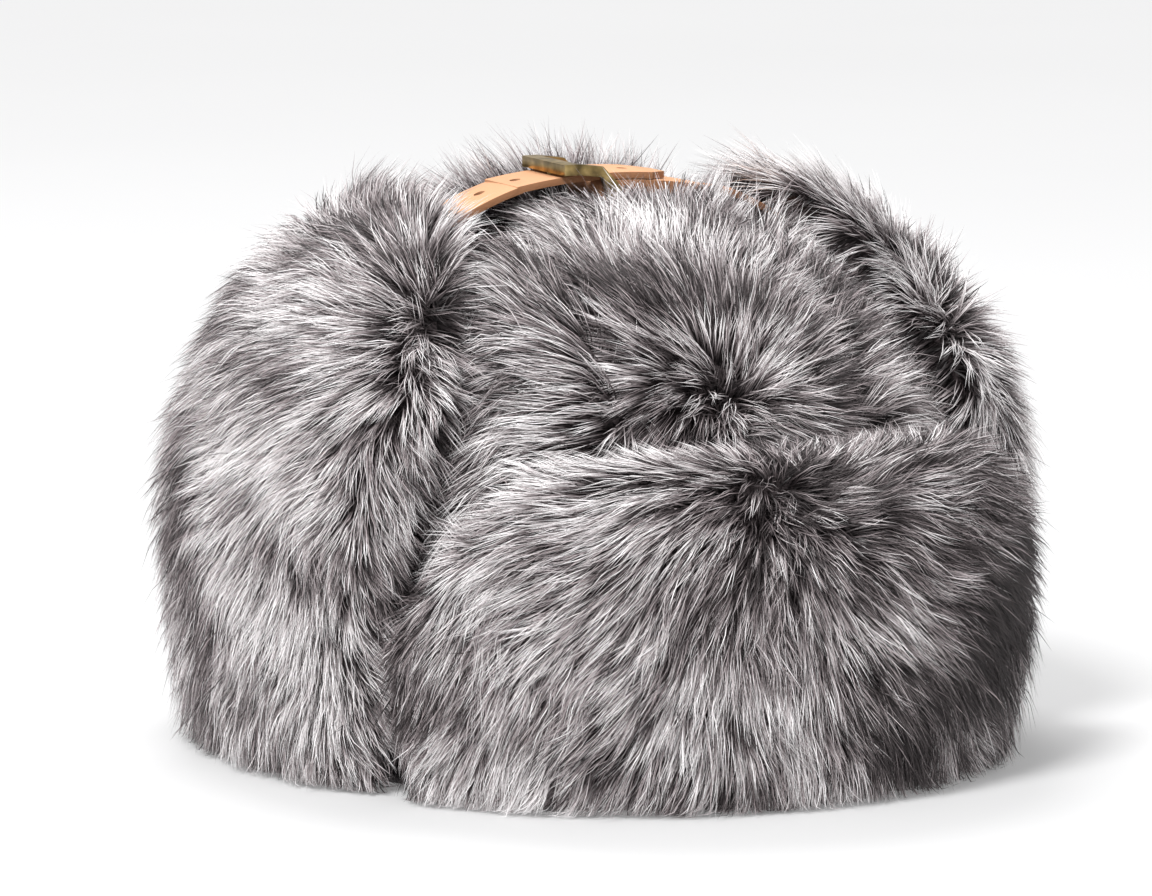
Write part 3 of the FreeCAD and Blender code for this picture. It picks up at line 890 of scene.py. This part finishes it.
def beside_strap(p):
    """Where the hair stands high: behind the strap, and in front of it past the tongue's end."""
    behind = smooth(p[..., 1], 0.012, 0.022)
    before = smooth(-p[..., 1], -0.003, 0.010) * (1 - smooth(-p[..., 1], 0.018, 0.045))
    before = before * smooth(p[..., 0], 0.008, 0.020)
    return np.maximum(behind, before) * smooth(p[..., 2], 0.145, 0.165)


def crown_lift(p):
    rest = whorl_lift(CROWN_WHORL, 46, 23)(p)
    return rest + (64 - rest) * beside_strap(p)


def crown_scale(p):
    return whorl_scale(CROWN_WHORL, 0.75)(p) + 0.20 * beside_strap(p)


def above_visor(p):
    """Crown fur is darker in the shadow above the visor and in front of the ear flaps."""
    cover = np.maximum(visor_cover(p), ear_cover(p))
    return -0.55 * np.exp(-np.maximum(-cover, 0) / 0.009)


def make_crown():
    look = dict(LONG)
    look["lift"] = crown_lift
    look["scale"] = crown_scale
    look["tone"] = patches([((-0.09, -0.08, 0.09), 0.05, 0.35), ((-0.01, -0.11, 0.134), 0.025, -0.2),
                            ((0.07, -0.08, 0.12), 0.05, -0.1), (TOP_TUFT, 0.05, -0.15)], 0.58, 11,
                           0.3, above_visor)
    for number, (node, share) in enumerate(CROWN_PANELS.items()):
        skin = crown_skin(f"{node}_hide", node)
        counts = [int(count * share) for count in COUNTS]
        coat(node, skin, "crown", counts, look, SHORT, radiate(CROWN_WHORL, 0.75),
             on_top(-0.012, 0.5), crown_limit, 100 + number)


def under_ceiling(level, keep=0.5):
    """Hair that rises past a level is bent over, so that it keeps only part of its rise."""

    def limit(points):
        points = flap_limit(points)
        excess = np.maximum(points[..., 2] - level, 0) * (1 - keep)
        return points - np.stack([0 * excess, 0 * excess, excess], axis=-1)

    return limit


def visor_end_shade(p):
    """Painted shade: the visor's fur is darkened where its ends meet the ear flaps, in the gap between them.
    """
    return -0.8 * np.exp(-np.maximum(visor_cover(p), 0) / 0.008) * (p[..., 2] < 0.075)


def visor_scale(p):
    at_end = np.exp(-np.maximum(visor_cover(p), 0) / 0.010) * (p[..., 2] < 0.08)
    return whorl_scale(VISOR_WHORL, 0.7)(p) * (1 - 0.5 * at_end)


def make_visor():
    look = dict(LONG)
    look["lift"] = whorl_lift(VISOR_WHORL, 44, 23)
    look["scale"] = visor_scale
    look["tone"] = patches([((-0.09, -0.10, 0.06), 0.05, 0.22), ((0.02, -0.16, 0.03), 0.05, 0.15),
                            ((0.06, -0.14, 0.06), 0.05, -0.5), ((0.085, -0.12, 0.05), 0.05, -0.4),
                            ((-0.012, -0.15, 0.103), 0.018, -0.25)], 0.54, 21, 0.3, visor_end_shade)
    skin = flap_skins("visor", "visor", visor_cover)
    coat("visor", skin, "visor", COUNTS, look, SHORT, radiate(VISOR_WHORL, 0.8),
         on_top(0.0055, -0.6), under_ceiling(0.110), 200)


def make_neck():
    look = dict(LONG)
    look["lift"] = whorl_lift(NECK_WHORL, 44, 23)
    look["scale"] = whorl_scale(NECK_WHORL, 0.7)
    look["tone"] = patches([], 0.5, 31)
    skin = flap_skins("neck", "neck_flap", neck_cover)
    coat("neck_flap", skin, "neck_flap", COUNTS, look, SHORT, radiate(NECK_WHORL, 0.8),
         on_top(0.0055, -0.6), under_ceiling(0.140), 300)


def at_front(p):
    return np.exp(-np.maximum(p[..., 1] - ear_front(p), 0) / 0.014)


def ear_lift(p):
    return 23 + 32 * at_front(p) * smooth(p[..., 2], 0.06, 0.10)


def ear_scale(p):
    low = 1 - smooth(p[..., 2], 0.06, 0.11)
    return 1.0 - (0.30 + 0.25 * low) * at_front(p)


def ear_push(sign):
    """An ear flap's hair sweeps over its front edge, and over its tip towards the strap."""

    def push(p):
        z = p[..., 2]
        at_tip = smooth(0.090 - np.abs(p[..., 0]), 0.0, 0.015)
        forward = -0.9 * at_front(p) * (1 - smooth(z, 0.150, 0.165))
        inward = -sign * 1.2 * at_tip
        return np.stack([inward, forward, 0 * z], axis=-1)

    return push


def make_ears():
    for side, sign, seed in (("right", -1, 400), ("left", 1, 500)):
        whorl = (sign * EAR_WHORL[0], EAR_WHORL[1], EAR_WHORL[2])
        look = dict(LONG)
        look["lift"] = ear_lift
        look["scale"] = ear_scale
        # Painted light: the left flap's fur is toned much lighter than the right's, to make up for the shade
        # it lies in; its front edge also gets less painted shade.
        bright, edge_shade = (0.98, 0.4) if side == "left" else (0.60, 0.8)

        # Painted shade along each ear flap's lower front edge, where it meets the visor, scaled by edge_shade;
        # the fur is also darker low down towards the back.
        def behind(p, edge_shade=edge_shade):
            low = 1 - smooth(p[..., 2], 0.08, 0.13)
            darker_low_back = -0.22 * low * smooth(p[..., 1], -0.008, 0.016)
            front_edge_shade = np.exp(-np.maximum(p[..., 1] - ear_front(p), 0) / 0.007)
            return darker_low_back - edge_shade * front_edge_shade * (1 - smooth(p[..., 2], 0.07, 0.11))

        look["tone"] = patches([((sign * 0.13, -0.035, 0.07), 0.045, 0.25),
                                ((sign * 0.10, -0.080, 0.14), 0.022, -0.1)], bright, seed, 0.3, behind)
        body = f"{side}_ear_flap"
        skin = flap_skins(f"{side}_ear", body, ear_cover)
        coat(body, skin, body, COUNTS, look, SHORT, radiate(whorl, 0.7, ear_push(sign)),
             on_top(0.0055, -0.6), flap_limit, seed)


# ---- inside the crown

QUILT_GORES = 20
QUILT_ROWS = 7


def grid_mesh(name, points, closed=True):
    """A mesh over rows x columns of points, closed around, with lengths in its weave layer."""
    rows, columns = points.shape[:2]
    faces = []
    for row in range(rows - 1):
        for column in range(columns if closed else columns - 1):
            following = (column + 1) % columns
            faces.append((row * columns + column, row * columns + following,
                          (row + 1) * columns + following, (row + 1) * columns + column))
    mesh = bpy.data.meshes.new(name)
    mesh.from_pydata(points.reshape(-1, 3).tolist(), [], faces)
    around = np.concatenate([[0], np.cumsum(np.linalg.norm(np.diff(points[0], axis=0), axis=1))])
    last = around[-1] + np.linalg.norm(points[0, 0] - points[0, -1])
    along = np.concatenate([[0], np.cumsum(np.linalg.norm(np.diff(points[:, 0], axis=0), axis=1))])
    layer = mesh.uv_layers.new(name="weave")
    uv = []
    for row in range(rows - 1):
        for column in range(columns if closed else columns - 1):
            right = around[column + 1] if column + 1 < columns else last
            uv += [(around[column], along[row]), (right, along[row]),
                   (right, along[row + 1]), (around[column], along[row + 1])]
    layer.data.foreach_set("uv", np.array(uv, np.float32).ravel())
    mesh.polygons.foreach_set("use_smooth", np.ones(len(mesh.polygons), bool))
    return mesh


def make_lining():
    """Quilted satin: pinned along its seams and swelled between them."""
    columns = QUILT_GORES * 10
    rows = QUILT_ROWS * 7 + 1
    angle = np.arange(columns) / columns * 2 * math.pi
    climb = np.linspace(0, 1, rows)
    inside = -0.0238
    top = DOME_TOP + inside - 1e-6
    level = np.where(climb < 0.45, 0.0045 + (DOME_MIDDLE - 0.0045) * climb / 0.45,
                     DOME_MIDDLE + (top - DOME_MIDDLE) * np.sin((climb - 0.45) / 0.55 * math.pi / 2))
    points = dome_point(angle[None, :], level[:, None], inside)
    mesh = grid_mesh("crown_lining_quilt", points)
    piece = link("crown_lining_quilt", mesh)
    column_number, row_number = np.meshgrid(np.arange(columns), np.arange(rows))
    gore_seam = column_number % 10 == 0
    ring_seam = row_number % 7 == 0
    pinned = (gore_seam | ring_seam).ravel()
    bulge = np.abs(np.sin(column_number / 10 * math.pi) * np.sin(row_number / 7 * math.pi)) ** 0.6
    crowding = 1 - smooth(climb, 0.75, 1.0)
    rise = 0.0022 * bulge * crowding[:, None]
    start = coords(mesh) - outward(coords(mesh)) * rise.ravel()[:, None]
    set_coords(mesh, start)
    mesh.flip_normals()
    puff(piece, 2.0, 0.0012, pinned)
    thick = piece.modifiers.new("thickness", "SOLIDIFY")
    thick.thickness = 0.0006
    thick.offset = -1
    smoothing = piece.modifiers.new("subdivision", "SUBSURF")
    smoothing.levels = 1
    settle(piece)
    finish_layer(piece, SATIN, "crown", "crown_lining")


def make_ring(name, node, profile, material, segments=360, waves=0.0):
    """A band around the head with a closed profile of offsets and levels, in millimetres."""
    angle = np.arange(segments) / segments * 2 * math.pi
    rows = profile + profile[:1]
    rings = []
    for offset, level in rows:
        swell = waves * np.sin(angle * 23) * np.sin(math.pi * level / 40)
        rings.append(dome_point(angle, level * MM, (offset + swell) * MM))
    mesh = grid_mesh(name, np.stack(rings))
    piece = link(name, mesh)
    weld = piece.modifiers.new("weld", "WELD")
    weld.merge_threshold = 1e-6
    settle(piece)
    return finish_layer(piece, material, "crown", node)


def ring_stitches(name, offset, level, facing_in):
    angle = np.linspace(0, 2 * math.pi, 1441)
    path = dome_point(angle, level * MM, offset * MM)
    facing = outward(path) * (-1 if facing_in else 1)
    stitch_line(name, path, facing, 0.0040, 0.0028, 0.00035, "crown")


def make_inside():
    make_lining()
    padding = soft_copy("crown_wadding", "crown_padding", 0.0035, 3)
    puff(padding, 2.0, 0.0003)
    finish_layer(padding, WADDING_PAINTED_SHADE, "crown", "crown_padding")
    band = [(-24.75, 4.3), (-24.7, 12), (-24.75, 34.6), (-25.1, 35.6), (-25.6, 35.9), (-26.0, 35.3),
            (-26.05, 33), (-26.15, 28), (-26.2, 20), (-26.15, 12), (-26.0, 7), (-25.9, 4.6), (-25.3, 4.2)]
    make_ring("leather_sweatband", "sweatband", band, BAND, waves=0.12)
    ring_stitches("sweatband_top_stitches", -26.0, 32.6, True)
    ring_stitches("sweatband_foot_stitches", -26.0, 7.0, True)
    tape = [(-25.9, 3.0), (-25.9, 1.2), (-25.2, 0.4), (-23.5, 0.05), (-18, 0.0), (-8, 0.0), (-2.5, 0.05),
            (-0.8, 0.4), (-0.1, 1.2), (-0.1, 3.0), (-0.8, 3.8), (-4, 3.9), (-22, 3.9), (-25.2, 3.8)]
    make_ring("rim_tape", "rim_binding", tape, TAPE, segments=480)


# ---- straps and buckle: the CAD's own shapes, softened at their edges


def soften(node, material, width):
    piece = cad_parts[node]
    weld = piece.modifiers.new("weld", "WELD")
    weld.merge_threshold = 1e-5
    bevel = piece.modifiers.new("soft_edges", "BEVEL")
    bevel.width = width
    bevel.segments = 3
    bevel.limit_method = "ANGLE"
    bevel.angle_limit = math.radians(40)
    bevel.harden_normals = True
    for polygon in piece.data.polygons:
        polygon.use_smooth = True
    piece.data.materials.clear()
    piece.data.materials.append(material)


def make_hardware():
    for node in ("tongue_strap", "buckle_strap"):
        soften(node, STRAP, 0.0005)
    for node in ("buckle_frame", "buckle_stud", "left_strap_rivets", "right_strap_rivets"):
        soften(node, BRASS, 0.0003)


make_crown()
make_visor()
make_neck()
make_ears()
make_inside()
make_hardware()

# ---- stage, light and camera


def area_light(name, place, target, size, power, colour=(1, 1, 1)):
    data = bpy.data.lights.new(name, "AREA")
    data.shape = "DISK"
    data.size = size
    data.energy = power
    data.color = colour
    lamp = bpy.data.objects.new(name, data)
    lamp.location = place
    lamp.rotation_euler = (Vector(target) - Vector(place)).to_track_quat("-Z", "Y").to_euler()
    bpy.context.scene.collection.objects.link(lamp)
    return lamp


FLOOR_RADIUS = 12.0
NEAR_GLOW = 0.34
FAR_GLOW = 0.92


def make_stage():
    """A wide pale paper floor that glows a little more away from the lamps."""
    count = 96
    points = [(0.0, 0.0, 0.0)]
    for radius in (0.5, 2.0, FLOOR_RADIUS):
        for step in range(count):
            angle = 2 * math.pi * step / count
            points.append((radius * math.cos(angle), radius * math.sin(angle), 0.0))
    faces = [(0, 1 + step, 1 + (step + 1) % count) for step in range(count)]
    for ring in range(2):
        inner, outer = 1 + ring * count, 1 + (ring + 1) * count
        for step in range(count):
            following = (step + 1) % count
            faces.append((inner + step, outer + step, outer + following, inner + following))
    mesh = bpy.data.meshes.new("paper_floor")
    mesh.from_pydata(points, [], faces)
    floor = link("paper_floor", mesh)
    material, nodes, links, shader = new_material("pale_paper")
    place = nodes.new("ShaderNodeTexCoord")
    mottle = nodes.new("ShaderNodeTexNoise")
    mottle.inputs["Scale"].default_value = 3
    links.new(place.outputs["Object"], mottle.inputs["Vector"])
    paper = ramp(nodes, [(0.0, (0.57, 0.57, 0.573)), (1.0, (0.59, 0.59, 0.592))])
    links.new(mottle.outputs["Fac"], paper.inputs["Fac"])
    links.new(paper.outputs[0], shader.inputs["Base Color"])
    links.new(paper.outputs[0], shader.inputs["Emission Color"])
    distance = nodes.new("ShaderNodeVectorMath")
    distance.operation = "LENGTH"
    links.new(place.outputs["Object"], distance.inputs[0])
    glow = nodes.new("ShaderNodeMapRange")
    glow.interpolation_type = "SMOOTHSTEP"
    glow.inputs["From Min"].default_value = 0.3
    glow.inputs["From Max"].default_value = 3.5
    glow.inputs["To Min"].default_value = NEAR_GLOW
    glow.inputs["To Max"].default_value = FAR_GLOW
    links.new(distance.outputs["Value"], glow.inputs["Value"])
    links.new(glow.outputs[0], shader.inputs["Emission Strength"])
    shader.inputs["Roughness"].default_value = 0.9
    mesh.materials.append(material)


def make_camera():
    data = bpy.data.cameras.new("camera")
    data.lens = 287
    camera = bpy.data.objects.new("camera", data)
    bpy.context.scene.collection.objects.link(camera)
    azimuth, elevation, distance = math.radians(-27), math.radians(8.5), 3.0
    back = Vector((math.sin(azimuth) * math.cos(elevation), -math.cos(azimuth) * math.cos(elevation),
                   math.sin(elevation)))
    target = Vector((-0.0062, 0.0032, 0.0958))
    camera.location = target + back * distance
    camera.rotation_euler = (-back).to_track_quat("-Z", "Y").to_euler()
    bpy.context.scene.camera = camera


world = bpy.data.worlds.new("studio")
world.use_nodes = True
world.node_tree.nodes["Background"].inputs["Color"].default_value = (1, 1, 1, 1)
world.node_tree.nodes["Background"].inputs["Strength"].default_value = 0.52
bpy.context.scene.world = world
area_light("key_light", (-1.2, -1.0, 1.9), (0, 0, 0.1), 0.7, 54)
area_light("fill_light", (1.6, -1.2, 0.9), (0, 0, 0.1), 1.4, 4)
area_light("top_light", (0.2, 0.9, 1.8), (0, 0, 0.12), 1.0, 21)
bpy.context.scene.view_settings.view_transform = "Standard"
make_stage()
make_camera()
